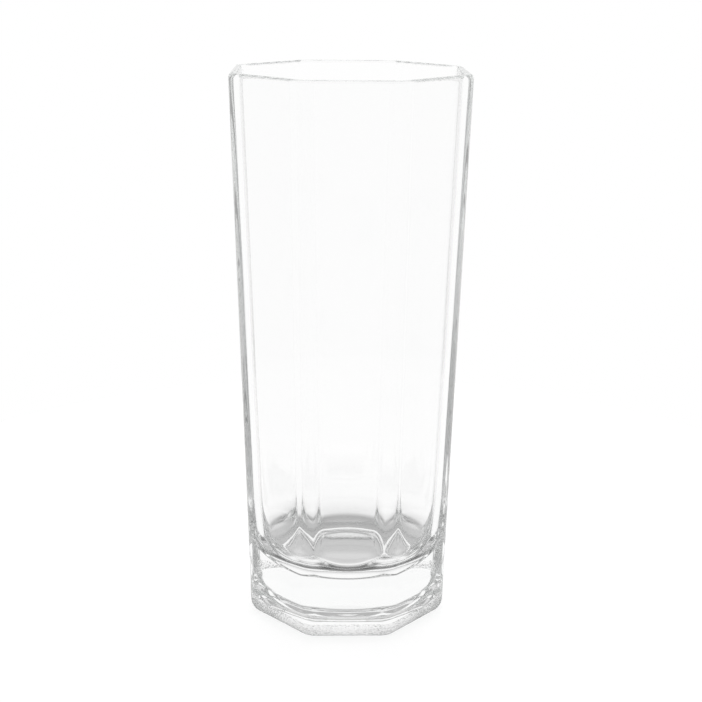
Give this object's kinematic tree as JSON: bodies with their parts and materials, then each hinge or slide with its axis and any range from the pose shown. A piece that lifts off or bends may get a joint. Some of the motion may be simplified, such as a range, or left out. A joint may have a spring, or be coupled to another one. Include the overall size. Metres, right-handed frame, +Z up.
{
  "type": "tall tumbler",
  "caption": "Tall clear glass tumbler with eight flat tapered panels inside and out, round floor, thick solid base, softened lip and hollow underside; holds a long drink.",
  "frame": {"origin": "middle of the foot, on the plane that the glass stands on", "axes": "+Z up along the axis of the bore, towards the rim; -Y is the front, square to one flat panel"},
  "size_m": [0.0636, 0.0636, 0.155],
  "materials": {
    "clear_glass": "clear colourless pressed soda-lime glass, fire polished, finely stippled on the heel"
  },
  "bodies": {
    "root": {"tumbler_glass": "clear_glass"}
  },
  "joints": []
}
